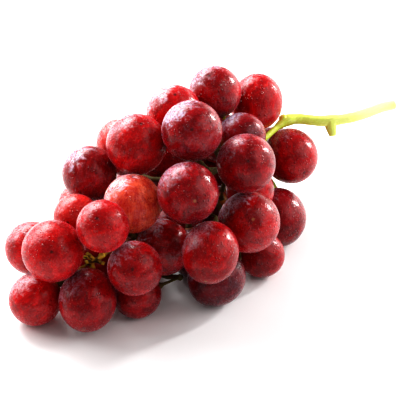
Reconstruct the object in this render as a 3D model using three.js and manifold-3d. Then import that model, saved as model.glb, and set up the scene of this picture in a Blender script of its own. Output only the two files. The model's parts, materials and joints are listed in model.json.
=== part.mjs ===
// A bunch of round red table grapes lying on its side, in millimetres, +Z up, standing on z = 0.
//
// One green stem runs through it: a main stalk from the cut end to the bunch's tip, side shoots, and a
// thin stalk with a flared cushion for every grape. Each grape is a solid of its own that sits a hair's
// breadth off its cushion, with its long axis in line with the stalk. The grapes that bear on the table
// have a small flat spot there.
//
// Places are given as for someone who stands in front of the bunch's full side: "right" and "away" are
// level, "up" is height above the table. At the end the whole bunch is turned so that +X runs along it,
// from its tip to the cut end of the stem.
import * as THREE from "three";
import { mergeVertices } from "three/addons/utils/BufferGeometryUtils.js";
import Module from "manifold-3d";

const wasm = await Module();
wasm.setup();

const DEGREE = Math.PI / 180;

// The eye that the near grapes are sighted from: it looks down on a point in the bunch's middle.
const EYE_DISTANCE = 750;
const EYE_ELEVATION = 32 * DEGREE;
const MIDDLE_HEIGHT = 40;
const TURN_TO_LENGTH = -40 * DEGREE;

// Grapes.
const GRAPE_FACETS = 2; // subdivisions of an icosahedron's edge
const FLAT_DEPTH = 0.45; // how much a resting grape is pressed flat
const GRAPE_GAP = 0.3; // between two grapes
const SEAT_GAP = 0.3; // between a grape and the cushion of its stalk
const STALK_GAP = 0.6; // between a stalk and any grape that it passes

// Stem.
const CUT_END_RADIUS = 2.1;
const BARE_RADIUS = 2.15;
const NECK_RADIUS = 1.35;
const TIP_RADIUS = 1.1;
const SHOOT_RADIUS = 1.1;
const STALK_RADIUS = 0.66;
const CUSHION_RADIUS = 1.8;
const CUSHION_LENGTH = 1.5;

const skins = {
  plum: new THREE.MeshStandardMaterial({ color: 0x4a0f1f, roughness: 0.35, metalness: 0 }),
  burgundy: new THREE.MeshStandardMaterial({ color: 0x6e1020, roughness: 0.35, metalness: 0 }),
  crimson: new THREE.MeshStandardMaterial({ color: 0x9c1a22, roughness: 0.35, metalness: 0 }),
  coral: new THREE.MeshStandardMaterial({ color: 0xc8402f, roughness: 0.35, metalness: 0 }),
};
const stemGreen = new THREE.MeshStandardMaterial({ color: 0xa9b83e, roughness: 0.6, metalness: 0 });

// The near grapes, from the bunch's tip to its shoulders: right and up of the middle as sighted by the
// eye, height above the table, diameter, length over diameter, skin, and for some where the far end of
// the grape is seen, right and up of its middle in shares of its radius.
const SIGHTED = [
  [-62.7, -21.7, 36.0, 25.8, 1.04, "crimson", [0.05, 0.0]],
  [-71.2, -20.8, 24.6, 22.8, 1.04, "coral"],
  [-69.6, -41.8, 11.2, 22.2, 1.02, "crimson"],
  [-48.2, -42.5, 14.4, 24.2, 1.13, "burgundy", [-0.1, -0.9]],
  [-26.6, -40.0, 10.0, 19.8, 1.04, "plum"],
  [-27.7, -29.1, 30.0, 22.8, 1.03, "burgundy", [-0.05, 0.0]],
  [-41.4, -11.2, 50.0, 21.6, 1.03, "crimson", [-0.15, 0.3]],
  [-52.6, -7.2, 38.0, 19.4, 1.03, "coral"],
  [-50.6, -1.7, 22.0, 20.2, 1.04, "coral"],
  [-28.3, -2.0, 44.0, 24.6, 1.02, "coral"],
  [-16.2, -19.6, 24.0, 24.0, 1.05, "plum"],
  [-5.1, 3.0, 55.0, 25.6, 1.03, "burgundy", [0.22, -0.26]],
  [4.4, -22.4, 34.0, 23.8, 1.13, "crimson", [-0.15, -0.88]],
  [6.8, -31.9, 11.6, 24.0, 1.1, "plum", [-0.65, -0.5]],
  [20.9, -9.4, 33.0, 26.6, 1.03, "burgundy", [0.1, 0.1]],
  [26.2, -23.0, 10.0, 20.2, 1.03, "burgundy"],
  [33.4, -7.3, 12.3, 24.8, 1.09, "burgundy", [0.1, -0.9]],
  [21.3, 4.3, 34.0, 21.0, 1.03, "crimson"],
  [19.6, 15.6, 59.0, 25.0, 1.03, "burgundy", [0.05, 0.05]],
  [17.8, 27.2, 55.0, 20.4, 1.04, "plum"],
  [38.4, 19.0, 33.0, 24.6, 1.06, "burgundy", [0.45, -0.6]],
  [24.2, 41.8, 56.5, 22.8, 1.13, "crimson", [0.05, 0.95]],
  [5.9, 45.6, 66.5, 23.0, 1.03, "plum"],
  [-11.1, 37.2, 67.0, 23.8, 1.04, "crimson"],
  [-3.5, 29.4, 72.0, 25.6, 1.03, "burgundy", [0.0, 0.0]],
  [-27.0, 23.7, 62.0, 25.8, 1.03, "crimson"],
  [-34.0, 24.3, 52.0, 20.6, 1.03, "coral"],
  [-47.0, 11.3, 47.5, 23.4, 1.03, "burgundy"],
];

// The grapes behind and beneath them, from the table upwards: right, away and up in the bunch itself,
// then as above.
const HIDDEN = [
  [-47, -8, 11.5, 22.6, 1.04, "burgundy"],
  [-66, 8, 11.0, 21.8, 1.03, "crimson"],
  [-30.3, 3, 11.0, 21.8, 1.04, "plum"],
  [-32, 30, 12.0, 23.6, 1.03, "burgundy"],
  [-50, 46, 11.5, 22.4, 1.05, "burgundy"],
  [-12, 26, 11.5, 23.0, 1.03, "burgundy"],
  [-1.5, 1, 10.8, 21.2, 1.04, "burgundy"],
  [9, 38, 11.0, 22.0, 1.03, "plum"],
  [-29, 56, 13.0, 24.2, 1.04, "burgundy"],
  [3, 70, 12.6, 23.0, 1.03, "crimson"],
  [22, 59, 12.0, 23.0, 1.04, "burgundy"],
  [-34, 53, 30.6, 22.8, 1.05, "crimson"],
  [34, 73, 21.0, 21.6, 1.03, "plum"],
  [-10, 70, 29.0, 22.8, 1.04, "burgundy"],
  [-14, 44, 38.0, 22.6, 1.03, "crimson"],
  [8, 67, 33.0, 23.2, 1.04, "burgundy"],
  [23, 78, 42.0, 21.0, 1.03, "crimson"],
  [-8, 50, 52.0, 21.6, 1.04, "plum"],
  [8.4, 68, 53.0, 22.2, 1.03, "burgundy"],
];

// The bare end of the main stalk, from where it comes out of the bunch to the cut: right and up as
// sighted by the eye, and height.
const BARE_STALK = [
  [26.5, 25.5, 43.5],
  [33.5, 31.5, 45.5],
  [37.0, 33.9, 46.5],
  [42.6, 34.5, 46.0],
  [49.7, 33.7, 45.0],
  [55.3, 33.8, 44.5],
  [63.8, 34.9, 44.0],
  [70.9, 37.0, 43.5],
  [77.9, 39.5, 43.0],
  [82.6, 40.5, 42.6],
];

// The main stalk within the bunch, from its tip: right, away and up.
const HIDDEN_STALK = [
  [-43.4, -25.5, 26],
  [-38, -12, 28],
  [-30, 3, 34],
  [-8, 18, 41],
  [10, 34, 43],
];

// The swollen joints of the bare stalk: at the bunch's shoulder, and farther out.
const JOINTS = [
  { place: [36.2, 33.6, 46.3], swell: 0.5 },
  { place: [55.3, 33.8, 44.5], swell: 0.5 },
];

// The stalks at the tip that have lost their grapes, as short stubs: right, away and up.
const BARE_STUBS = [
  [3.6, -0.6, 3.2],
  [-4.4, -2.0, 0.6],
  [3.6, -2.4, 0.2],
  [-3.8, 0.4, 3.8],
];
const BARE_STUB_RADIUS = 0.85;

// Where along the main stalk grapes may hang straight from it (0 at the tip, 1 at the cut end).
const ROOT_STATIONS = [0.005, 0.08, 0.16, 0.24, 0.32, 0.4, 0.48, 0.55, 0.6];

// Side shoots: where along the main stalk each one leaves, and the points that it passes through
// to its end: right, away and up.
const SHOOTS = [
  [0.13, [-50, -4, 36]],
  [0.15, [-34, -4, 22]],
  [0.18, [-28, -12, 36]],
  [0.2, [-26, -3, 20], [-21, -14, 11.5], [-8.5, -15.5, 10.8]],
  [0.25, [-30, 14, 46]],
  [0.3, [-12, 6, 44]],
  [0.34, [-2, 0, 36]],
  [0.36, [-6, 12, 26]],
  [0.38, [2, 10, 30], [15, 1, 20]],
  [0.36, [-22, 40, 32]],
  [0.4, [-12, 34, 52]],
  [0.42, [-4, 46, 28]],
  [0.44, [6, 22, 54]],
  [0.47, [10, 28, 28]],
  [0.5, [20, 24, 38]],
  [0.52, [12, 54, 46]],
  [0.55, [24, 58, 34]],
].map(([station, ...path]) => {
  const through = path.map((point) => new THREE.Vector3(...point));
  return { station, through, end: through.at(-1) };
});

const UP = new THREE.Vector3(0, 0, 1);
const EYE = new THREE.Vector3(
  0,
  -EYE_DISTANCE * Math.cos(EYE_ELEVATION),
  MIDDLE_HEIGHT + EYE_DISTANCE * Math.sin(EYE_ELEVATION),
);

// The point at a given height on the line of sight through a point right and up of the middle.
function sight(right, up, height) {
  const seen = new THREE.Vector3(
    right,
    up * Math.sin(EYE_ELEVATION),
    MIDDLE_HEIGHT + up * Math.cos(EYE_ELEVATION),
  );
  return EYE.clone().lerp(seen, (EYE.z - height) / (EYE.z - seen.z));
}

// The direction towards a grape's far end, from where that end is seen on it.
function facing([right, up]) {
  const away = -Math.sqrt(1 - right ** 2 - up ** 2);
  const [sine, cosine] = [Math.sin(EYE_ELEVATION), Math.cos(EYE_ELEVATION)];
  return new THREE.Vector3(right, up * sine + away * cosine, up * cosine - away * sine);
}

function makeGrape(centre, [diameter, slenderness, skin, tip], sighted) {
  const width = diameter / 2;
  return {
    centre,
    width,
    length: width * slenderness,
    skin,
    slide: sighted ? centre.clone().sub(EYE).normalize() : null,
    resting: centre.z < width * 1.12,
    facing: tip ? facing(tip) : null,
    axis: new THREE.Vector3(),
    root: null,
  };
}

// How far a grape reaches from its centre in a direction.
function reach(grape, direction) {
  const along = grape.axis.dot(direction) ** 2;
  return Math.sqrt(grape.length ** 2 * along + grape.width ** 2 * (1 - along));
}

// Each grape hangs from the shoot or stretch of main stalk that its stalk reaches most easily: near by,
// with no grape in the way, and from behind. Its long axis points away from there unless its far end
// was seen.
function chooseRoots(grapes, roots) {
  const ray = new THREE.Line3();
  const nearest = new THREE.Vector3();
  for (const grape of grapes) {
    let least = Infinity;
    for (const root of roots) {
      const direct = grape.centre.clone().sub(root).normalize();
      const axis = grape.facing ?? direct;
      ray.set(root, grape.centre.clone().addScaledVector(axis, -grape.length));
      let cost = ray.distance() + 12 * (1 - axis.dot(direct));
      for (const other of grapes) {
        ray.closestPointToPoint(other.centre, true, nearest);
        const clear = other === grape ? other.width - STALK_GAP : other.length + STALK_RADIUS + STALK_GAP;
        cost += 4 * Math.max(0, clear - nearest.distanceTo(other.centre));
      }
      if (cost < least) {
        least = cost;
        grape.root = root;
        grape.axis.copy(axis);
      }
    }
  }
}

// Grapes that overlap each other or the main stalk move apart: a sighted grape mostly along its line of
// sight, a resting one level.
function makeRoom(grapes, mainLine) {
  const SIDEWAYS = 0.2;
  const spine = mainLine.getSpacedPoints(80);
  const between = new THREE.Vector3();
  const shift = (grape, step) => {
    if (grape.slide) {
      const along = grape.slide.clone().multiplyScalar(step.dot(grape.slide));
      step = along.addScaledVector(step.clone().sub(along), SIDEWAYS);
    }
    grape.centre.add(step);
  };
  for (let round = 0; round < 400; round++) {
    grapes.forEach((a, i) => {
      for (const b of grapes.slice(i + 1)) {
        between.subVectors(b.centre, a.centre);
        const distance = between.length();
        between.divideScalar(distance);
        const bite = reach(a, between) + reach(b, between) + GRAPE_GAP - distance;
        if (bite <= 0) continue;
        shift(a, between.clone().multiplyScalar(-bite / 2));
        shift(b, between.clone().multiplyScalar(bite / 2));
      }
    });
    for (const grape of grapes) {
      for (const point of spine) {
        between.subVectors(grape.centre, point);
        const distance = between.length();
        const bite = reach(grape, between.divideScalar(distance)) + NECK_RADIUS + STALK_GAP - distance;
        if (bite > 0) shift(grape, between.clone().multiplyScalar(bite / 2));
      }
      const lowest = reach(grape, UP) - FLAT_DEPTH;
      if (grape.resting || grape.centre.z < lowest) grape.centre.z = lowest;
    }
  }
}

// Moves a point on a bar's middle line out of every grape.
function pushOut(point, radius, grapes) {
  const out = new THREE.Vector3();
  for (const grape of grapes) {
    out.subVectors(point, grape.centre);
    const distance = out.length();
    const clear = reach(grape, out.divideScalar(distance)) + radius + STALK_GAP;
    if (distance < clear) point.copy(grape.centre).addScaledVector(out, clear);
  }
}

// A line through points, as an elastic band whose inner points are kept out of every grape.
function bendClear(points, radius, grapes, count) {
  const line = new THREE.CatmullRomCurve3(points, false, "centripetal").getSpacedPoints(count);
  const inner = line.slice(1, -1);
  for (let round = 0; round < 150; round++) {
    inner.forEach((point, i) => {
      point.lerp(line[i].clone().lerp(line[i + 2], 0.5), 0.5);
      pushOut(point, radius, grapes);
    });
  }
  for (let round = 0; round < 30; round++) inner.forEach((point) => pushOut(point, radius, grapes));
  return line;
}

// A stalk's line from its root to its grape, square to the grape at its cushion.
function routeStalk(grape, grapes) {
  const seat = grape.centre.clone().addScaledVector(grape.axis, -grape.length - SEAT_GAP);
  const neck = seat.clone().addScaledVector(grape.axis, -CUSHION_LENGTH);
  const before = seat.clone().addScaledVector(grape.axis, -2 * CUSHION_LENGTH);
  return [...bendClear([grape.root, before], STALK_RADIUS, grapes, 7), neck, seat];
}

// A closed round bar along a curve, with a radius for each share of its length and place.
function bar(points, radiusAt, sides, steps) {
  const curve = new THREE.CatmullRomCurve3(points, false, "centripetal");
  const frames = curve.computeFrenetFrames(steps, false);
  const positions = [];
  const index = [];
  for (let ring = 0; ring <= steps; ring++) {
    const share = ring / steps;
    const middle = curve.getPointAt(share);
    for (let side = 0; side < sides; side++) {
      const angle = (side / sides) * 2 * Math.PI;
      const spoke = frames.normals[ring].clone().multiplyScalar(Math.cos(angle));
      spoke.addScaledVector(frames.binormals[ring], Math.sin(angle));
      positions.push(...middle.clone().addScaledVector(spoke, radiusAt(share, middle)).toArray());
    }
  }
  for (let ring = 0; ring < steps; ring++) {
    for (let side = 0; side < sides; side++) {
      const next = (side + 1) % sides;
      const [a, b] = [ring * sides + side, ring * sides + next];
      index.push(a, b, b + sides, a, b + sides, a + sides);
    }
  }
  const last = steps * sides;
  for (let side = 1; side < sides - 1; side++) {
    index.push(0, side + 1, side, last, last + side, last + side + 1);
  }
  const geometry = new THREE.BufferGeometry();
  geometry.setAttribute("position", new THREE.Float32BufferAttribute(positions, 3));
  return geometry.setIndex(index);
}

function toSolid(geometry) {
  const plain = geometry.clone();
  plain.deleteAttribute("normal");
  plain.deleteAttribute("uv");
  const merged = mergeVertices(plain, 1e-4);
  return new wasm.Manifold(
    new wasm.Mesh({
      numProp: 3,
      vertProperties: new Float32Array(merged.getAttribute("position").array),
      triVerts: new Uint32Array(merged.getIndex().array),
    }),
  );
}

function toGeometry(solid) {
  const { numProp, vertProperties, triVerts } = solid.getMesh();
  const geometry = new THREE.BufferGeometry();
  geometry.setAttribute("position", new THREE.BufferAttribute(vertProperties, numProp));
  return geometry.setIndex(new THREE.BufferAttribute(triVerts, 1));
}

function grapeGeometry(grape) {
  const geometry = new THREE.IcosahedronGeometry(1, GRAPE_FACETS);
  geometry.scale(grape.width, grape.width, grape.length);
  geometry.applyQuaternion(new THREE.Quaternion().setFromUnitVectors(UP, grape.axis));
  return geometry.translate(...grape.centre.toArray());
}

// The half-space under the table's surface, as far as the bunch reaches.
function tableSolid() {
  const [span, depth] = [400, 20];
  return toSolid(new THREE.BoxGeometry(span, span, depth).translate(0, 0, -depth / 2));
}

// The main stalk: thin in the bunch, then thick from the joint at the bunch's shoulder to the cut.
function mainStalk(mainLine) {
  const JOINT_LENGTH = 2.8;
  const THICKENING = 4;
  const [shoulder, outer] = JOINTS.map((joint) => sight(...joint.place));
  const cut = mainLine.getPoint(1);
  const radiusAt = (share, place) => {
    const beyond = place.x - shoulder.x;
    const thick = THREE.MathUtils.smoothstep(beyond, -THICKENING, THICKENING / 2);
    const inner = THREE.MathUtils.lerp(TIP_RADIUS, NECK_RADIUS, Math.min(1, share / 0.5));
    const bare = THREE.MathUtils.mapLinear(place.x, shoulder.x, cut.x, BARE_RADIUS, CUT_END_RADIUS);
    const swelling = [shoulder, outer].map(
      (middle, i) => JOINTS[i].swell * Math.exp(-((place.distanceTo(middle) / JOINT_LENGTH) ** 2)),
    );
    return swelling.reduce((a, b) => a + b, THREE.MathUtils.lerp(inner, bare, thick));
  };
  return bar(mainLine.getSpacedPoints(50), radiusAt, 10, 50);
}

// A short bare piece of stem that tapers to a blunt end.
function stub(from, way, radius, endRadius) {
  const ends = [from, from.clone().addScaledVector(way, 0.5), from.clone().add(way)];
  return bar(ends, (share) => THREE.MathUtils.lerp(radius, endRadius, share), 8, 3);
}

function stemGeometry(grapes, mainLine) {
  const parts = [mainStalk(mainLine)];
  for (const shoot of SHOOTS) {
    const line = bendClear([mainLine.getPointAt(shoot.station), ...shoot.through], SHOOT_RADIUS, grapes, 7);
    parts.push(bar(line, (share) => THREE.MathUtils.lerp(SHOOT_RADIUS * 1.2, SHOOT_RADIUS, share), 6, 7));
    parts.push(new THREE.IcosahedronGeometry(SHOOT_RADIUS * 1.5, 0).translate(...shoot.end.toArray()));
  }
  for (const grape of grapes) {
    const line = routeStalk(grape, grapes);
    const length = new THREE.CatmullRomCurve3(line, false, "centripetal").getLength();
    const flare = (share) => {
      const left = (1 - share) * length;
      return STALK_RADIUS + (CUSHION_RADIUS - STALK_RADIUS) * Math.exp(-((left / CUSHION_LENGTH) ** 2));
    };
    parts.push(bar(line, flare, 5, Math.max(5, Math.round(length / 3))));
  }
  const [shoulder, outer] = JOINTS.map((joint) => sight(...joint.place));
  parts.push(stub(shoulder, new THREE.Vector3(-1.4, -0.4, 2.5), 2.0, 1.4));
  parts.push(stub(outer, new THREE.Vector3(1.3, -2.9, -6.1), 3.0, 1.5));
  const tip = mainLine.getPoint(0);
  for (const way of BARE_STUBS) {
    parts.push(stub(tip, new THREE.Vector3(...way), STALK_RADIUS, BARE_STUB_RADIUS));
  }
  const [first, ...rest] = parts.map(toSolid);
  return toGeometry(rest.reduce((whole, piece) => whole.add(piece), first));
}

function build() {
  const grapes = [
    ...SIGHTED.map(([right, up, height, ...form]) => makeGrape(sight(right, up, height), form, true)),
    ...HIDDEN.map(([right, away, up, ...form]) => makeGrape(new THREE.Vector3(right, away, up), form)),
  ];
  const hidden = HIDDEN_STALK.map((point) => new THREE.Vector3(...point));
  const bare = BARE_STALK.map((point) => sight(...point));
  const through = (points) => new THREE.CatmullRomCurve3(points, false, "centripetal");
  let mainLine = through([...hidden, ...bare]);
  const roots = ROOT_STATIONS.map((station) => mainLine.getPointAt(station));
  roots.push(...SHOOTS.map((shoot) => shoot.end));
  for (let round = 0; round < 4; round++) {
    chooseRoots(grapes, roots);
    makeRoom(grapes, mainLine);
    for (const shoot of SHOOTS) {
      for (let i = 0; i < 30; i++) pushOut(shoot.end, SHOOT_RADIUS * 1.5, grapes);
    }
  }
  mainLine = through([...bendClear([...hidden, bare[0]], NECK_RADIUS, grapes, 16), ...bare.slice(1)]);
  ROOT_STATIONS.forEach((station, i) => roots[i].copy(mainLine.getPointAt(station)));

  const bunch = new THREE.Group();
  const table = tableSolid();
  grapes.forEach((grape, i) => {
    const solid = toSolid(grapeGeometry(grape)).subtract(table);
    const mesh = new THREE.Mesh(toGeometry(solid), skins[grape.skin]);
    mesh.name = `grape_${String(i + 1).padStart(2, "0")}`;
    bunch.add(mesh);
  });
  const stem = new THREE.Mesh(stemGeometry(grapes, mainLine), stemGreen);
  stem.name = "stem";
  bunch.add(stem);
  bunch.rotation.z = TURN_TO_LENGTH;
  return bunch;
}

// The origin goes under the middle of the bunch's bounding box.
const part = new THREE.Group();
part.add(build());
const bounds = new THREE.Box3().setFromObject(part, true);
const middle = bounds.getCenter(new THREE.Vector3());
part.children[0].position.set(-middle.x, -middle.y, -bounds.min.z);

export default part;
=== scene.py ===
"""A bunch of round red table grapes lying on its side on a pale table, in soft studio light."""

from __future__ import annotations

import json
import logging
import math
from dataclasses import dataclass, field
from enum import Enum
from typing import Any

import bmesh
import bpy
import numpy as np
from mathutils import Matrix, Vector

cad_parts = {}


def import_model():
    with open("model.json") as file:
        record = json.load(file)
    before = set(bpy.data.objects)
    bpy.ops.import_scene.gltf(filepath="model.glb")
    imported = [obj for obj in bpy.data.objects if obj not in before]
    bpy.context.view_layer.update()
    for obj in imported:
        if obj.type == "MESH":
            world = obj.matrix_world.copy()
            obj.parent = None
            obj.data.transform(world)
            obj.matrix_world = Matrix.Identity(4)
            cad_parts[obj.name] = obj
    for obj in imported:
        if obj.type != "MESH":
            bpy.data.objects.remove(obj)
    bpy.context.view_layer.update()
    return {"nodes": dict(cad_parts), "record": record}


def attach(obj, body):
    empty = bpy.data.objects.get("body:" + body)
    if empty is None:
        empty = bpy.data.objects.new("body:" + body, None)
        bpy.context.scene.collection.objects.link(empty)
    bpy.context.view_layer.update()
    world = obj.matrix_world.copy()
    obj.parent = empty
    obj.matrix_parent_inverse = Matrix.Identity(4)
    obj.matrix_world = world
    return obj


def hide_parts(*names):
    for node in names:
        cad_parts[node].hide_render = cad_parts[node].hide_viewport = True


LOG = logging.getLogger("bunch")
MM = 0.001
Colour = tuple[float, float, float]
Direction = tuple[float, float, float]
FRESH_SCAR: Colour = (0.050, 0.008, 0.008)
DRY_SCAR: Colour = (0.34, 0.13, 0.06)
HIDDEN_GRAPES = range(29, 48)


# Shader building


@dataclass(frozen=True)
class Wire:
    """One output of a material's node tree, as a number or colour to reckon with."""

    palette: "Palette"
    socket: Any

    def _join(self, operation: str, first: Any, second: Any) -> "Wire":
        """The Math node that joins two values."""
        return self.palette.node("ShaderNodeMath", {"operation": operation}, {0: first, 1: second})

    def __add__(self, other: Any) -> "Wire":
        """self + other."""
        return self._join("ADD", self, other)

    def __radd__(self, other: Any) -> "Wire":
        """other + self."""
        return self._join("ADD", other, self)

    def __sub__(self, other: Any) -> "Wire":
        """self - other."""
        return self._join("SUBTRACT", self, other)

    def __rsub__(self, other: Any) -> "Wire":
        """other - self."""
        return self._join("SUBTRACT", other, self)

    def __mul__(self, other: Any) -> "Wire":
        """self * other."""
        return self._join("MULTIPLY", self, other)

    def __rmul__(self, other: Any) -> "Wire":
        """other * self."""
        return self._join("MULTIPLY", other, self)


class Palette:
    """The node tree of one material, with a short way to add nodes to it."""

    def __init__(self, name: str) -> None:
        """Makes an empty material.

        Args:
            name: The material's name.
        """
        self.material = bpy.data.materials.new(name)
        self.material.use_nodes = True
        self.tree = self.material.node_tree
        self.tree.nodes.clear()

    def node(
        self,
        kind: str,
        settings: dict[str, Any] | None = None,
        inputs: dict[int | str, Any] | None = None,
        output: int | str = 0,
    ) -> Wire:
        """Adds a node.

        Args:
            kind: The node's type.
            settings: The node's own properties, set before its sockets.
            inputs: Values or wires by socket name or number.
            output: The socket that the wire comes from.

        Returns:
            The wire from that output.
        """
        made = self.tree.nodes.new(kind)
        for key, value in (settings or {}).items():
            setattr(made, key, value)
        for key, value in (inputs or {}).items():
            if isinstance(value, Wire):
                self.tree.links.new(value.socket, made.inputs[key])
            else:
                made.inputs[key].default_value = value
        return Wire(self, made.outputs[output])

    def place(self) -> Wire:
        """Where a point is on the bunch, in metres."""
        return self.node("ShaderNodeTexCoord", output="Object")

    def noise(self, place: Wire, size: float, detail: float = 3.0, twist: float = 0.0) -> Wire:
        """Soft random clouds from 0 to 1.

        Args:
            place: The point.
            size: The clouds' size in metres.
            detail: How many finer layers lie over them.
            twist: How far they are distorted.

        Returns:
            The value.
        """
        inputs = {"Vector": place, "Scale": 1 / size, "Detail": detail, "Distortion": twist}
        return self.node("ShaderNodeTexNoise", inputs=inputs)

    def cells(self, place: Wire, size: float, output: str = "Distance") -> Wire:
        """The distance to, or the random colour of, the nearest of many scattered points."""
        return self.node(
            "ShaderNodeTexVoronoi", inputs={"Vector": place, "Scale": 1 / size}, output=output
        )

    def ramp(self, value: Wire, low: float, high: float, top: float = 1.0) -> Wire:
        """A smooth step.

        Args:
            value: What is stepped.
            low: Where the step is 0.
            high: Where it reaches its top. It may be under low.
            top: The top value.

        Returns:
            The stepped value.
        """
        start, end, first, last = (low, high, 0.0, top) if low < high else (high, low, top, 0.0)
        return self.node(
            "ShaderNodeMapRange",
            {"interpolation_type": "SMOOTHSTEP"},
            {0: value, 1: start, 2: end, 3: first, 4: last},
        )

    def blend(self, share: Any, under: Any, over: Any) -> Wire:
        """A mix of two colours.

        Args:
            share: How much of the upper colour shows.
            under: The lower colour.
            over: The upper colour.

        Returns:
            The mixed colour.
        """
        inputs = {
            0: share,
            6: under if isinstance(under, Wire) else (*under, 1.0),
            7: over if isinstance(over, Wire) else (*over, 1.0),
        }
        return self.node("ShaderNodeMix", {"data_type": "RGBA"}, inputs, output=2)

    def vector(self, operation: str, first: Any, second: Any, output: int | str = 0) -> Wire:
        """A Vector Math node."""
        return self.node(
            "ShaderNodeVectorMath", {"operation": operation}, {0: first, 1: second}, output
        )

    def bump(self, height: Wire, metres: float, strength: float, under: Wire | None = None) -> Wire:
        """Low relief.

        Args:
            height: The relief from 0 to 1.
            metres: What a height of 1 stands for.
            strength: How strongly it shows.
            under: A relief that this one lies on.

        Returns:
            The surface normal.
        """
        inputs: dict[int | str, Any] = {"Height": height, "Distance": metres, "Strength": strength}
        if under is not None:
            inputs["Normal"] = under
        return self.node("ShaderNodeBump", inputs=inputs)

    def finish(self, surface: dict[int | str, Any]) -> bpy.types.Material:
        """Closes the material with one surface shader.

        Args:
            surface: The shader's sockets.

        Returns:
            The material.
        """
        shader = self.node("ShaderNodeBsdfPrincipled", inputs=surface)
        end = self.tree.nodes.new("ShaderNodeOutputMaterial")
        self.tree.links.new(shader.socket, end.inputs["Surface"])
        return self.material


# Finishes


@dataclass(frozen=True)
class SkinTone:
    """The colours of one grape's skin.

    Attributes:
        deep: Where the skin is ripest.
        flush: Where light passes through the flesh.
        bloom_and_sheen: The colour of the waxy coat, also laid as painted sheen on the side that
            faces the lights.
        film_and_sheen: How much of that waxy coat shows, with the painted sheen laid in its colour,
            from 0 to 1.
        glow: How much light passes through the flesh.
    """

    deep: Colour
    flush: Colour
    bloom_and_sheen: Colour
    film_and_sheen: float
    glow: float


class Skin(Enum):
    """The skins in the bunch, from the ripest to the palest."""

    PLUM = SkinTone(
        deep=(0.060, 0.001, 0.004),
        flush=(0.190, 0.004, 0.010),
        bloom_and_sheen=(0.48, 0.43, 0.60),
        film_and_sheen=0.60,
        glow=0.20,
    )
    GARNET = SkinTone(
        deep=(0.100, 0.001, 0.003),
        flush=(0.310, 0.003, 0.008),
        bloom_and_sheen=(0.56, 0.50, 0.66),
        film_and_sheen=0.58,
        glow=0.26,
    )
    WINE = SkinTone(
        deep=(0.135, 0.001, 0.003),
        flush=(0.430, 0.005, 0.009),
        bloom_and_sheen=(0.60, 0.53, 0.67),
        film_and_sheen=0.58,
        glow=0.30,
    )
    BURGUNDY = SkinTone(
        deep=(0.170, 0.001, 0.003),
        flush=(0.500, 0.006, 0.008),
        bloom_and_sheen=(0.66, 0.57, 0.69),
        film_and_sheen=0.54,
        glow=0.36,
    )
    CRIMSON = SkinTone(
        deep=(0.270, 0.002, 0.004),
        flush=(0.680, 0.009, 0.010),
        bloom_and_sheen=(0.76, 0.63, 0.71),
        film_and_sheen=0.46,
        glow=0.44,
    )
    ROSE = SkinTone(
        deep=(0.380, 0.007, 0.009),
        flush=(0.740, 0.040, 0.028),
        bloom_and_sheen=(0.80, 0.66, 0.71),
        film_and_sheen=0.42,
        glow=0.52,
    )
    CORAL = SkinTone(
        deep=(0.500, 0.012, 0.016),
        flush=(0.920, 0.185, 0.078),
        bloom_and_sheen=(0.88, 0.66, 0.74),
        film_and_sheen=0.44,
        glow=0.55,
    )


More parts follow.
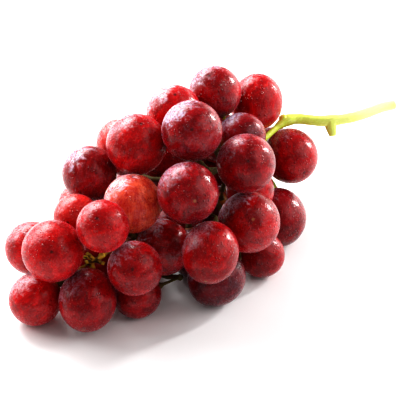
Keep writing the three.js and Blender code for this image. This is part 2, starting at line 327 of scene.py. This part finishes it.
@dataclass(frozen=True)
class GrapeSkin:
    """Thin, taut skin with a waxy coat, pale dots and streaks that run from end to end, and painted
    sheen in the coat's colour on the side that faces the lights.

    Attributes:
        tone: The skin's colours.
        dust_and_sheen: How much more of the waxy coat, and of the painted sheen with it, this grape
            shows than others like it.
        scar: The colour of the spot at the far end.
        pale: The colour of the dots.
        collar: The colour round the stalk.
        cloud: The size of the ripe and less ripe areas.
        streak: The width of the streaks.
        fibre: The width of the finest streaks.
        vein: The width of the dark veins.
        pit: The size of the small dark marks.
        dot: The spacing of the pale dots.
        pore: The size of the pores.
        pull: How far the streaks are drawn out along the grape: 0 is not at all, 1 is endless.
        patch: The size of the areas that keep more or less of the film.
        wipe: The width of the stripes where the film is rubbed.
        grain: The size of the film's grains.
        speck: The spacing of the bare specks in the film.
        toward_lights: The direction of the lights: the coat's colour is laid thickest on the skin
            that faces it, as painted sheen.
        beneath: The direction of the grapes' lower near side, where a little of the coat's colour
            is laid too.
        damp: The size of the areas where drops of water lie.
        bead: The spacing of those drops.
    """

    tone: SkinTone
    dust_and_sheen: float = 1.0
    scar: Colour = FRESH_SCAR
    pale: Colour = (0.74, 0.26, 0.18)
    collar: Colour = (0.46, 0.17, 0.04)
    cloud: float = 8.0 * MM
    streak: float = 1.3 * MM
    fibre: float = 0.6 * MM
    vein: float = 1.5 * MM
    pit: float = 0.75 * MM
    dot: float = 1.5 * MM
    pore: float = 0.38 * MM
    pull: float = 0.84
    patch: float = 5.5 * MM
    wipe: float = 2.4 * MM
    grain: float = 0.85 * MM
    speck: float = 1.5 * MM
    toward_lights: Direction = (-0.35, 0.56, 0.75)
    beneath: Direction = (-0.15, -0.94, -0.26)
    damp: float = 6.0 * MM
    bead: float = 1.25 * MM

    def _drawn_out(self, skin: Palette, place: Wire, egg: "Egg") -> Wire:
        """Presses places together along the grape, so that noise laid on them is drawn out.

        Args:
            skin: The material.
            place: The point.
            egg: The grape's form.

        Returns:
            The pressed point.
        """
        offset = skin.vector("SUBTRACT", place, tuple(egg.middle))
        along = skin.vector("DOT_PRODUCT", offset, tuple(egg.axis), "Value")
        lift = skin.node("ShaderNodeCombineXYZ", inputs={0: along, 1: along, 2: along})
        shift = skin.vector("MULTIPLY", lift, tuple(egg.axis * self.pull))
        return skin.vector("SUBTRACT", place, shift)

    def _colour(self, skin: Palette, place: Wire, drawn: Wire, streaks: Wire) -> Wire:
        """The skin under its film: ripe and less ripe areas, streaks, veins, pits and dots.

        Args:
            skin: The material.
            place: The point.
            drawn: The point pressed together along the grape.
            streaks: The streaks, from 0 to 1.

        Returns:
            The colour.
        """
        tone = self.tone
        clouds = skin.ramp(skin.noise(place, self.cloud, 3.0, 0.8), 0.39, 0.63)
        fibres = skin.ramp(skin.noise(drawn, self.fibre, 3.0), 0.35, 0.70)
        share = clouds * 0.50 + streaks * 0.34 + fibres * 0.16
        colour = skin.blend(share, tone.deep, tone.flush)
        veins = skin.ramp(skin.noise(drawn, self.vein, 4.0, 2.0), 0.54, 0.66, 0.52)
        colour = skin.blend(veins, colour, tone.deep)
        pits = skin.ramp(skin.noise(place, self.pit, 4.0), 0.60, 0.70, 0.34)
        colour = skin.blend(pits, colour, tone.deep)
        dots = skin.ramp(skin.cells(place, self.dot), 0.19, 0.08, 0.32)
        return skin.blend(dots, colour, self.pale)

    def _ends(self, skin: Palette, place: Wire, egg: "Egg", colour: Wire) -> Wire:
        """Darker skin round the scar, the scar, and paler skin round the stalk.

        Args:
            skin: The material.
            place: The point.
            egg: The grape's form.
            colour: The colour of the rest of the skin.

        Returns:
            The colour with both ends.
        """
        tip = skin.vector("DISTANCE", place, tuple(egg.middle + egg.axis * egg.length), "Value")
        root = skin.vector("DISTANCE", place, tuple(egg.middle - egg.axis * egg.length), "Value")
        colour = skin.blend(skin.ramp(tip, 6.5 * MM, 1.0 * MM, 0.36), colour, self.tone.deep)
        colour = skin.blend(skin.ramp(tip, 1.0 * MM, 0.35 * MM, 0.85), colour, self.scar)
        return skin.blend(skin.ramp(root, 4.0 * MM, 1.2 * MM, 0.7), colour, self.collar)

    def _film_and_sheen(self, skin: Palette, place: Wire, drawn: Wire, grain: Wire) -> Wire:
        """The waxy coat with painted sheen: its colour laid thickest on the side that faces the
        lights as painted highlight, rubbed in stripes, with bare specks.

        Args:
            skin: The material.
            place: The point.
            drawn: The point pressed together along the grape.
            grain: The film's grains, from 0 to 1.

        Returns:
            How much of the skin the waxy coat and the painted sheen cover.
        """
        facing = skin.node("ShaderNodeNewGeometry", output="Normal")
        patches = skin.ramp(skin.noise(place, self.patch, 4.0, 1.8), 0.40, 0.66)
        # Painted highlight: the waxy coat's colour is laid thickest where the skin faces the
        # lights.
        side = skin.vector("DOT_PRODUCT", facing, self.toward_lights, "Value")
        bloom_sheen_share = skin.ramp(side + (patches - 0.5) * 0.24, 0.56, 0.96)
        wiped = skin.ramp(skin.noise(drawn, self.wipe, 4.0, 0.8), 0.34, 0.66)
        specks = skin.ramp(skin.cells(place, self.speck), 0.14, 0.27)
        smear = patches * wiped * (0.3 + 0.7 * grain) * 0.03
        under = skin.vector("DOT_PRODUCT", facing, self.beneath, "Value")
        smear = smear + skin.ramp(under + (patches - 0.5) * 0.5, 0.25, 1.0, 0.05)
        film_and_sheen = (bloom_sheen_share * (0.60 + 0.55 * wiped) + smear) * (0.30 + 0.75 * grain) * specks
        return film_and_sheen * (self.tone.film_and_sheen * self.dust_and_sheen)

    def _drops(self, skin: Palette, place: Wire) -> Wire:
        """Fine drops of water, which lie only here and there.

        Args:
            skin: The material.
            place: The point.

        Returns:
            The drops' height from 0 to 1.
        """
        beads = skin.ramp(skin.cells(place, self.bead), 0.40, 0.14)
        draw = skin.cells(place, self.bead, "Color")
        chance = skin.node("ShaderNodeSeparateColor", inputs={0: draw})
        area = skin.ramp(skin.noise(place, self.damp, 2.0), 0.40, 0.56)
        return beads * (skin.ramp(chance, 0.42, 0.50) * area)

    def _relief(self, skin: Palette, place: Wire, streaks: Wire, drops: Wire) -> Wire:
        """Pores, streaks and drops as low relief.

        Args:
            skin: The material.
            place: The point.
            streaks: The streaks, from 0 to 1.
            drops: The drops, from 0 to 1.

        Returns:
            The surface normal.
        """
        relief = skin.bump(skin.noise(place, self.pore, 3.0), 0.07 * MM, 0.40)
        relief = skin.bump(streaks, 0.08 * MM, 0.40, relief)
        return skin.bump(drops, 0.45 * MM, 1.0, relief)

    def make(self, name: str, egg: "Egg") -> bpy.types.Material:
        """Makes the skin for one grape.

        Args:
            name: The material's name.
            egg: The grape's form.

        Returns:
            The material.
        """
        skin = Palette(name)
        place = skin.place()
        drawn = self._drawn_out(skin, place, egg)
        streaks = skin.ramp(skin.noise(drawn, self.streak, 5.0, 1.0), 0.36, 0.70)
        grain = skin.ramp(skin.noise(place, self.grain, 4.0), 0.36, 0.62)
        # The waxy coat, and painted sheen in its colour on the side that faces the lights.
        film_and_sheen = self._film_and_sheen(skin, place, drawn, grain)
        drops = self._drops(skin, place)
        bare = self._ends(skin, place, egg, self._colour(skin, place, drawn, streaks))
        return skin.finish(
            {
                "Base Color": skin.blend(film_and_sheen, bare, self.tone.bloom_and_sheen),
                "Roughness": 0.165 + 0.38 * film_and_sheen + 0.11 * grain - 0.12 * drops,
                "Normal": self._relief(skin, place, streaks, drops),
                "IOR": 1.34,
                "Subsurface Weight": self.tone.glow,
                "Subsurface Radius": (1.0, 0.16, 0.08),
                "Subsurface Scale": 6.0 * MM,
                "Coat Weight": drops,
                "Coat Roughness": 0.04,
                "Coat IOR": 1.33,
                "Sheen Weight": 0.10,
                "Sheen Roughness": 0.30,
                "Sheen Tint": (0.90, 0.78, 1.0, 1.0),
            }
        )


@dataclass(frozen=True)
class StemBark:
    """Fresh green stem, browner in the bunch and darkened there as painted shade, and pale towards
    the cut.

    Attributes:
        green: The bare stalk's colour.
        pale: The colour near the cut.
        shaded_olive: The brown deep in the bunch, darkened as painted shade between the grapes.
        rust: Dry spots, joints and stubs.
        gold: The last stalks, towards the end of the bunch.
        cut_face: The cut itself.
        fork: Where the last stalks part.
        blotch: The size of the lighter and darker areas.
        fibre: The width of the fibres.
        spot: The size of the dry spots.
        greening: Over what length the dark brown with its painted shade turns to green where the
            stalk comes out.
        paling: How far out the green starts to turn pale.
    """

    green: Colour = (0.54, 0.63, 0.050)
    pale: Colour = (0.82, 0.80, 0.36)
    shaded_olive: Colour = (0.075, 0.048, 0.007)
    rust: Colour = (0.16, 0.050, 0.008)
    gold: Colour = (0.96, 0.66, 0.10)
    cut_face: Colour = (0.62, 0.50, 0.26)
    fork: Vector = field(default_factory=lambda: Vector((-68.3, -12.6, 25.6)) * MM)
    blotch: float = 4.0 * MM
    fibre: float = 0.5 * MM
    spot: float = 1.3 * MM
    greening: float = 12 * MM
    paling: float = 14 * MM

    def make(self, name: str, shoulder: float, cut: float) -> bpy.types.Material:
        """Makes the bark.

        Args:
            name: The material's name.
            shoulder: How far along the bunch the stalk comes out.
            cut: How far along it ends.

        Returns:
            The material.
        """
        bark = Palette(name)
        place = bark.place()
        along = bark.node("ShaderNodeSeparateXYZ", inputs={0: place})
        soft = bark.noise(place, self.blotch, 4.0, 0.5)
        fibre = bark.noise(bark.vector("MULTIPLY", place, (0.18, 1.0, 1.0)), self.fibre, 4.0)

        # Dark brown with painted shade inside the bunch, turning green where the stalk comes out.
        reach = along + (soft - 0.5) * self.greening
        outside = bark.ramp(reach, shoulder - self.greening, shoulder + 2 * MM)
        colour = bark.blend(outside, self.shaded_olive, self.green)
        reach = along + (soft - 0.5) * self.paling
        ending = bark.ramp(reach, shoulder + self.paling, cut - 4 * MM, 0.85)
        colour = bark.blend(ending, colour, self.pale)
        fibres = bark.ramp(fibre, 0.42, 0.68, 0.30) * (0.15 + 0.85 * outside)
        colour = bark.blend(fibres, colour, self.pale)

        spots = bark.ramp(bark.noise(place, self.spot, 3.0), 0.60, 0.72, 0.75)
        inner = bark.ramp(outside, 1.0, 0.2) + 0.08
        colour = bark.blend(spots * inner, colour, self.rust)
        last = bark.ramp(bark.vector("DISTANCE", place, tuple(self.fork), "Value"), 14 * MM, 7 * MM)
        colour = bark.blend(last * bark.ramp(soft, 0.38, 0.60), colour, self.gold)
        face = bark.ramp(along, cut - 0.9 * MM, cut - 0.4 * MM, 0.75)
        colour = bark.blend(face, colour, self.cut_face)

        relief = bark.bump(fibre, 0.12 * MM, 0.5)
        relief = bark.bump(spots, 0.10 * MM, 0.5, relief)
        return bark.finish(
            {
                "Base Color": colour,
                "Roughness": 0.74 + 0.2 * soft - 0.32 * outside,
                "Normal": relief,
                "Subsurface Weight": 0.45,
                "Subsurface Radius": (0.8, 1.0, 0.15),
                "Subsurface Scale": 1.6 * MM,
                "Coat Weight": 0.08 * outside,
            }
        )


# Pieces


@dataclass(frozen=True)
class Egg:
    """The form of a grape: a ball that is longer along one axis.

    Attributes:
        middle: The centre.
        axis: The direction from its stalk to its far end.
        width: Half its width.
        length: Half its length.
    """

    middle: Vector
    axis: Vector
    width: float
    length: float

    @staticmethod
    def of(points: np.ndarray, stem: np.ndarray) -> "Egg":
        """Finds the form that points lie on.

        Args:
            points: Points on the grape.
            stem: Points on the stem, which tell the grape's stalk end from its far end.

        Returns:
            The form.
        """
        base = points.mean(0)
        x, y, z = ((points - base) / MM).T
        squares = [x * x, y * y, z * z]
        products = [2 * x * y, 2 * x * z, 2 * y * z]
        rows = np.stack([*squares, *products, 2 * x, 2 * y, 2 * z], 1)
        a, b, c, d, e, f, *line = np.linalg.lstsq(rows, np.ones(len(x)), rcond=None)[0]
        form = np.array([[a, d, e], [d, b, f], [e, f, c]])
        centre = -np.linalg.solve(form, np.array(line))
        values, directions = np.linalg.eigh(form / (1 + centre @ form @ centre))
        reach = 1 / np.sqrt(values)
        middle = base + centre * MM
        axis = directions[:, 0]
        ends = [middle + side * axis * reach[0] * MM for side in (1, -1)]
        near = [np.linalg.norm(stem - end, axis=1).min() for end in ends]
        axis = axis if near[1] < near[0] else -axis
        return Egg(Vector(middle), Vector(axis), float(reach[1:].mean()) * MM, float(reach[0]) * MM)


@dataclass
class Grape:
    """One grape: taut round skin, swollen where its stalk joins, with a small scar at its far end.

    Attributes:
        node: The solid that it stands for.
        skin: Its colouring.
        egg: Its form.
        seed: What its small bumps are drawn from.
        dust_and_sheen: How much of its waxy coat, and of the painted sheen with it, shows.
        tan: Whether its scar has dried to a light brown.
        ripple: The height of its slow bumps.
        pitches: How many waves of bumps go round it, about.
        shoulder: How far the skin swells at the stalk.
        shoulder_reach: How far from the stalk it does.
        dimple: The depth of the hollow round the scar.
        dimple_reach: Half the hollow's width.
        scar: The height of the scar.
        scar_reach: Half the scar's width.
    """

    node: str
    skin: Skin
    egg: Egg
    seed: int
    dust_and_sheen: float = 1.0
    tan: bool = False
    ripple: float = 0.10 * MM
    pitches: tuple[float, ...] = (1.6, 2.3, 3.1, 4.2)
    shoulder: float = 0.34 * MM
    shoulder_reach: float = 1.7 * MM
    dimple: float = 0.28 * MM
    dimple_reach: float = 1.5 * MM
    scar: float = 0.16 * MM
    scar_reach: float = 0.5 * MM

    def _relief(self, ways: np.ndarray) -> np.ndarray:
        """How far the skin stands out of the plain form.

        Args:
            ways: Directions from the centre, with the far end at +Z.

        Returns:
            The height for each direction.
        """
        dice = np.random.default_rng(self.seed)
        height = np.zeros(len(ways))
        for pitch in self.pitches:
            turns = dice.normal(size=(3, 3)) * pitch
            phases = dice.uniform(0, 2 * math.pi, 3)
            height += np.sin(ways @ turns + phases).sum(1) / 3 / pitch
        height *= self.ripple
        arc = np.arccos(np.clip(ways[:, 2], -1, 1)) * self.egg.width
        back = math.pi * self.egg.width - arc
        height += self.shoulder * np.exp(-((back / self.shoulder_reach) ** 2))
        height -= self.dimple * np.exp(-((arc / self.dimple_reach) ** 2))
        height += self.scar * np.exp(-((arc / self.scar_reach) ** 4))
        return height

    def build(self, ball: bpy.types.Mesh) -> bpy.types.Object:
        """Makes the grape.

        Args:
            ball: A fine ball of radius 1 to shape.

        Returns:
            The grape's object.
        """
        ways = np.empty(len(ball.vertices) * 3)
        ball.vertices.foreach_get("co", ways)
        ways = ways.reshape(-1, 3)
        ways /= np.linalg.norm(ways, axis=1, keepdims=True)
        size = np.array([self.egg.width, self.egg.width, self.egg.length])
        points = ways * size + ways * self._relief(ways)[:, None]
        turn = np.array(self.egg.axis.to_track_quat("Z", "Y").to_matrix())
        points = points @ turn.T + np.array(self.egg.middle)
        points[:, 2] = np.maximum(points[:, 2], 0)
        mesh = ball.copy()
        mesh.name = f"{self.node}_skin"
        mesh.vertices.foreach_set("co", points.ravel())
        mesh.update()
        piece = bpy.data.objects.new(f"{self.node}_skin", mesh)
        bpy.context.collection.objects.link(piece)
        finish = GrapeSkin(self.skin.value, self.dust_and_sheen, DRY_SCAR if self.tan else FRESH_SCAR)
        mesh.materials.append(finish.make(f"{self.node}_finish", self.egg))
        return piece


@dataclass
class Bunch:
    """All the grapes.

    Attributes:
        skins: The skin of each grape by its node.
        dust_and_sheen: How much waxy coat, and painted sheen with it, each grape shows, by its
            node.
        tans: The grapes whose scar has dried to a light brown.
        fineness: How many times each ball's faces are divided.
        flat: How far up the points lie that belong to the flats on the table.
    """

    skins: dict[str, Skin] = field(default_factory=dict)
    dust_and_sheen: dict[str, float] = field(default_factory=dict)
    tans: tuple[str, ...] = ("grape_04", "grape_12", "grape_13", "grape_15", "grape_33", "grape_42")
    fineness: int = 5
    flat: float = 0.05 * MM

    def _ball(self) -> bpy.types.Mesh:
        """Makes a fine smooth ball of radius 1.

        Returns:
            The ball's mesh.
        """
        form = bmesh.new()
        bmesh.ops.create_icosphere(form, subdivisions=self.fineness, radius=1.0)
        for face in form.faces:
            face.smooth = True
        mesh = bpy.data.meshes.new("ball")
        form.to_mesh(mesh)
        form.free()
        return mesh

    def build(self, nodes: dict[str, bpy.types.Object], slots: dict[str, str]) -> None:
        """Makes every grape in place of its solid.

        Args:
            nodes: The solids by name.
            slots: The record's material slot of each solid. Not used.
        """
        ball = self._ball()
        stem = points_of(nodes["stem"])
        for number, name in enumerate(sorted(n for n in nodes if n.startswith("grape_"))):
            points = points_of(nodes[name])
            egg = Egg.of(points[points[:, 2] > self.flat], stem)
            skin, dust_and_sheen = self.skins.get(name, Skin.BURGUNDY), self.dust_and_sheen.get(name, 1.0)
            grape = Grape(name, skin, egg, number, dust_and_sheen, name in self.tans)
            piece = grape.build(ball)
            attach(piece, "root")
            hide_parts(name)
            LOG.info("%s: %.1f mm across, %s", name, egg.width * 2 / MM, skin.name.lower())
        bpy.data.meshes.remove(ball)


@dataclass
class Stem:
    """The stem: main stalk, side shoots and stalks, grown into each other with no edges.

    Attributes:
        grain: The size of the cells that it is grown from.
        rounds: How often its facets are smoothed.
        softness: How far each round of smoothing goes, from 0 to 1.
        regain: What is put back of what the smoothing takes off.
        wart: The height of its small bumps.
        pitches: Their sizes, the largest first.
        seed: What they are drawn from.
        shoulder: How far along the bunch it comes out.
        fullness: How much fuller the bare stalk is than its solid.
        fuller_from: How far along the bunch it starts to be fuller.
        fuller_over: Over what length it comes to that.
    """

    grain: float = 0.32 * MM
    rounds: int = 5
    softness: float = 0.5
    regain: float = 0.05 * MM
    wart: float = 0.09 * MM
    pitches: tuple[float, ...] = (2.6 * MM, 1.5 * MM, 0.9 * MM)
    seed: int = 7
    shoulder: float = 30 * MM
    fullness: float = 0.24 * MM
    fuller_from: float = 40 * MM
    fuller_over: float = 5 * MM

    def build(self, solid: bpy.types.Object) -> bpy.types.Object:
        """Makes the stem from a copy of its solid.

        Args:
            solid: The stem's solid.

        Returns:
            The stem's object.
        """
        rough = bpy.data.objects.new("stem_rough", solid.data.copy())
        bpy.context.collection.objects.link(rough)
        grown = rough.modifiers.new("grown", "REMESH")
        grown.mode = "VOXEL"
        grown.voxel_size = self.grain
        grown.use_smooth_shade = True
        smooth = rough.modifiers.new("smooth", "SMOOTH")
        smooth.factor = self.softness
        smooth.iterations = self.rounds
        ready = rough.evaluated_get(bpy.context.evaluated_depsgraph_get())
        mesh = bpy.data.meshes.new_from_object(ready)
        bpy.data.objects.remove(rough)
        mesh.name = "stem_bark"
        self._roughen(mesh)
        mesh.materials.clear()
        cut = max(v.co.x for v in mesh.vertices)
        mesh.materials.append(StemBark().make("stem_finish", self.shoulder, cut))
        piece = bpy.data.objects.new("stem_bark", mesh)
        bpy.context.collection.objects.link(piece)
        return piece

    def _roughen(self, mesh: bpy.types.Mesh) -> None:
        """Gives the bark small bumps, and makes good what the smoothing took off.

        Args:
            mesh: The mesh to change.
        """
        count = len(mesh.vertices)
        points, normals = np.empty(count * 3), np.empty(count * 3)
        mesh.vertices.foreach_get("co", points)
        mesh.vertices.foreach_get("normal", normals)
        points, normals = points.reshape(-1, 3), normals.reshape(-1, 3)
        dice = np.random.default_rng(self.seed)
        bare = np.clip((points[:, 0] - self.fuller_from) / self.fuller_over, 0, 1)
        height = self.regain + self.fullness * bare
        for pitch in self.pitches:
            turns = dice.normal(size=(3, 3)) / pitch
            height += self.wart * pitch / self.pitches[0] * np.sin(points @ turns).prod(1)
        points += normals * height[:, None]
        mesh.vertices.foreach_set("co", points.ravel())
        mesh.update()


def points_of(thing: bpy.types.Object) -> np.ndarray:
    """Reads the corners of an object's mesh.

    Args:
        thing: The object.

    Returns:
        One row for each corner.
    """
    corners = np.empty(len(thing.data.vertices) * 3)
    thing.data.vertices.foreach_get("co", corners)
    return corners.reshape(-1, 3)


# Studio


@dataclass(frozen=True)
class Softbox:
    """A large soft light.

    Attributes:
        name: Its name.
        azimuth: Where it stands, in degrees round the bunch from -Y.
        elevation: Its height in degrees.
        distance: How far off it is.
        width: Its width.
        height: Its height.
        watts: Its strength.
        tint: Its colour.
    """

    name: str
    azimuth: float
    elevation: float
    distance: float
    width: float
    height: float
    watts: float
    tint: Colour = (1.0, 1.0, 1.0)

    def build(self, target: Vector) -> None:
        """Hangs the light.

        Args:
            target: What it points at.
        """
        lamp = bpy.data.lights.new(self.name, "AREA")
        lamp.shape = "RECTANGLE"
        lamp.size, lamp.size_y = self.width, self.height
        lamp.energy = self.watts
        lamp.color = self.tint
        holder = bpy.data.objects.new(self.name, lamp)
        bpy.context.collection.objects.link(holder)
        back = towards(self.azimuth, self.elevation)
        holder.location = target + back * self.distance
        holder.rotation_euler = back.to_track_quat("Z", "Y").to_euler()


@dataclass
class Studio:
    """A pale table, soft lights and the camera.

    Attributes:
        aim: What the camera looks at.
        azimuth: Where the camera stands, in degrees round the bunch from -Y.
        elevation: How far it looks down, in degrees.
        distance: How far off it is.
        picture: The picture's width in pixels.
        pixels_per_mm: The scale of the picture where the camera looks.
        sensor: The width of the camera's sensor, in millimetres.
        nearest: How near the camera still sees.
        lights: The soft lights.
        room: The strength of the pale light from all round.
        table: Half the table's width.
        table_drop: How far the table's top is under the grapes' flats.
        paint: The table's colour.
    """

    aim: Vector = field(default_factory=lambda: Vector((-17.9, -20.2, 40.0)) * MM)
    azimuth: float = -40.0
    elevation: float = 32.0
    distance: float = 0.75
    picture: int = 400
    pixels_per_mm: float = 2.35
    sensor: float = 36.0
    nearest: float = 0.05
    lights: tuple[Softbox, ...] = (
        Softbox("window", 172.0, 40.0, 0.85, 0.50, 0.42, 7.6),
        Softbox("side_window", 83.0, 20.0, 0.80, 0.055, 0.24, 3.8),
        Softbox("left_wall", -150.0, 30.0, 0.85, 0.60, 0.60, 3.9),
        Softbox("right_wall", 38.0, 36.0, 1.00, 0.90, 0.90, 4.3),
        Softbox("low_wall", 92.0, 10.0, 0.90, 1.00, 0.36, 2.4),
    )
    room: float = 0.36
    table: float = 2.5
    table_drop: float = 0.2 * MM
    paint: Colour = (0.90, 0.90, 0.90)

    def _table(self) -> None:
        """Lays the pale table."""
        mesh = bpy.data.meshes.new("table")
        half = self.table
        corners = [(-half, -half, 0), (half, -half, 0), (half, half, 0), (-half, half, 0)]
        mesh.from_pydata(corners, [], [(0, 1, 2, 3)])
        paint = Palette("table_paint")
        mesh.materials.append(paint.finish({"Base Color": (*self.paint, 1.0), "Roughness": 0.6}))
        table = bpy.data.objects.new("table", mesh)
        bpy.context.collection.objects.link(table)
        table.location.z = -self.table_drop

    def _sky(self) -> None:
        """Fills the room with pale light."""
        world = bpy.data.worlds.new("room")
        bpy.context.scene.world = world
        world.use_nodes = True
        light = world.node_tree.nodes["Background"]
        light.inputs["Color"].default_value = (1.0, 1.0, 1.0, 1.0)
        light.inputs["Strength"].default_value = self.room

    def _camera(self) -> None:
        """Sets up the camera and the tones of its picture."""
        view = self.picture / self.pixels_per_mm * MM
        lens = bpy.data.cameras.new("camera")
        lens.sensor_width = self.sensor
        lens.lens = self.sensor * self.distance / view
        lens.clip_start = self.nearest
        camera = bpy.data.objects.new("camera", lens)
        bpy.context.collection.objects.link(camera)
        back = towards(self.azimuth, self.elevation)
        camera.location = self.aim + back * self.distance
        camera.rotation_euler = back.to_track_quat("Z", "Y").to_euler()
        bpy.context.scene.camera = camera
        bpy.context.scene.view_settings.view_transform = "Standard"
        bpy.context.scene.view_settings.look = "High Contrast"

    def build(self) -> None:
        """Sets up the table, the lights and the camera."""
        self._table()
        self._sky()
        for light in self.lights:
            light.build(self.aim)
        self._camera()


def towards(azimuth: float, elevation: float) -> Vector:
    """The direction from the bunch to a place round it.

    Args:
        azimuth: Degrees round the bunch from -Y, counter-clockwise from above.
        elevation: Degrees above the table.

    Returns:
        A direction of length 1.
    """
    turn, rise = math.radians(azimuth), math.radians(elevation)
    return Vector(
        (math.sin(turn) * math.cos(rise), -math.cos(turn) * math.cos(rise), math.sin(rise))
    )


def choose_skins() -> dict[str, Skin]:
    """The skin of each grape by its node.

    Returns:
        Skins by node name. A grape that isn't named is burgundy.
    """
    groups = {
        Skin.PLUM: (14, 31, 32, 35, 36, 46),
        Skin.GARNET: (17, 20),
        Skin.WINE: (4, 5, 12, 16, 19, 25, 34, 37, 38, 41, 43),
        Skin.CRIMSON: (1, 2, 3, 7, 22, 24, 26, 30, 40, 45),
        Skin.ROSE: (8, 9, 27),
        Skin.CORAL: (10,),
    }
    return {f"grape_{number:02d}": skin for skin, numbers in groups.items() for number in numbers}


def choose_dust_and_sheen() -> dict[str, float]:
    """How much waxy coat, and painted sheen with it, each grape shows, by its node, for those that
    differ.

    Returns:
        Shares by node name. A grape that isn't named has 1.
    """
    # These shares scale the waxy coat and the painted sheen laid in its colour.
    bloom_sheen_share = {
        1: 0.7, 2: 1.2, 3: 1.5, 4: 0.6, 5: 0.6, 6: 1.0, 7: 0.8, 8: 0.9, 10: 2.2, 11: 2.6, 12: 0.8,
        13: 0.5, 15: 1.4, 16: 0.4, 17: 0.4, 19: 0.5, 20: 1.6, 21: 0.5, 22: 0.9, 23: 1.9, 24: 2.5,
        25: 2.0, 26: 1.3, 28: 1.9,
    }
    bloom_sheen_share.update({number: 0.4 for number in HIDDEN_GRAPES})
    return {f"grape_{number:02d}": share for number, share in bloom_sheen_share.items()}


def main() -> None:
    """Builds the bunch and the studio."""
    logging.basicConfig(level=logging.INFO, format="%(name)s: %(message)s")
    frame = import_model()
    slots = {part["node"]: part["material_slot"] for part in frame["record"]["subparts"]}
    nodes = frame["nodes"]
    Bunch(choose_skins(), choose_dust_and_sheen()).build(nodes, slots)
    stem = Stem().build(nodes["stem"])
    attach(stem, "root")
    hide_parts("stem")
    LOG.info("stem: %d faces", len(stem.data.polygons))
    Studio().build()


if __name__ == "__main__":
    main()
